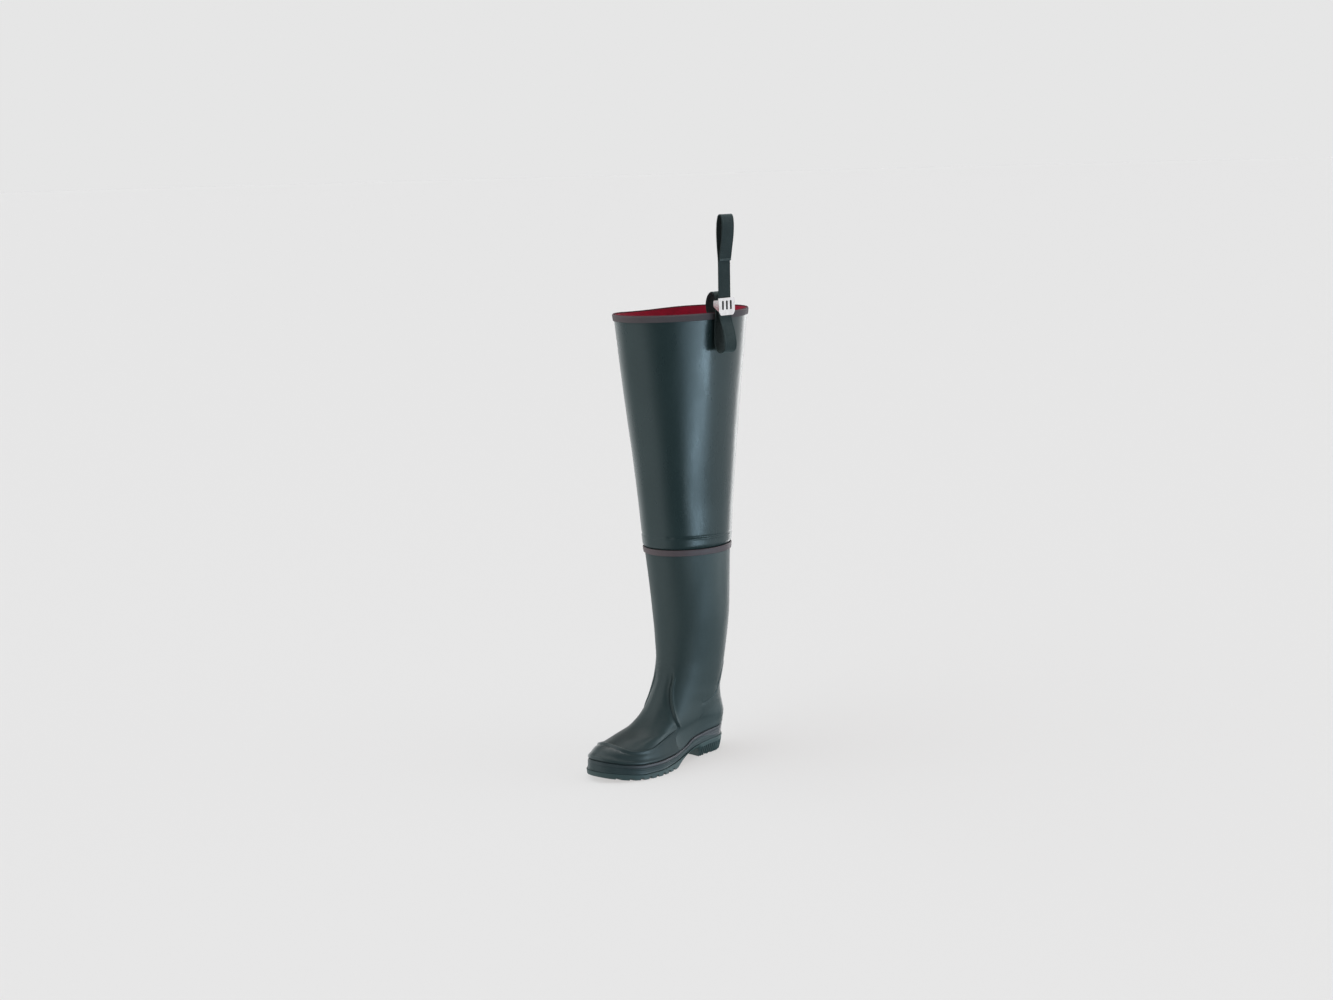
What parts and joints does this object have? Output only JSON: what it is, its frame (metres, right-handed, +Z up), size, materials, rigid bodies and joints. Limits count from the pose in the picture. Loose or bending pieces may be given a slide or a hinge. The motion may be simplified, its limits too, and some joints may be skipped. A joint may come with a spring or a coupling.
{
  "type": "thigh wader boot",
  "caption": "Left thigh-high rubber wader boot: hollow moulded foot and shaft on a lugged heeled sole, flared leg with bound collar, and a webbing belt strap with a metal buckle.",
  "frame": {"origin": "middle of the overall box on the floor plane under the sole", "axes": "+Z up the leg, -Y towards the toe, +X towards the outer side of the left leg"},
  "size_m": [0.2088, 0.365, 0.9127],
  "materials": {
    "boot_rubber": "satin dark green moulded rubber",
    "guard_rubber": "satin dark green moulded rubber",
    "counter_rubber": "satin dark green moulded rubber",
    "leg_rubber": "satin dark green rubber-coated cloth",
    "foxing_rubber": "satin grey-green rubber strip",
    "sole_rubber": "matte grey-green moulded rubber",
    "insole_cloth": "red woven lining cloth",
    "knee_binding": "satin purple-brown rubber strip",
    "collar_binding_rubber": "satin purple-brown rubber strip",
    "webbing": "dark green-black woven webbing",
    "buckle_nickel": "bright nickel plate"
  },
  "bodies": {
    "root": {"boot_upper": "boot_rubber", "toe_guard": "guard_rubber", "heel_counter": "counter_rubber", "leg": "leg_rubber", "foxing": "foxing_rubber", "outsole": "sole_rubber", "insole": "insole_cloth", "knee_band": "knee_binding", "collar_binding": "collar_binding_rubber", "belt_strap": "webbing", "buckle": "buckle_nickel"}
  },
  "joints": []
}
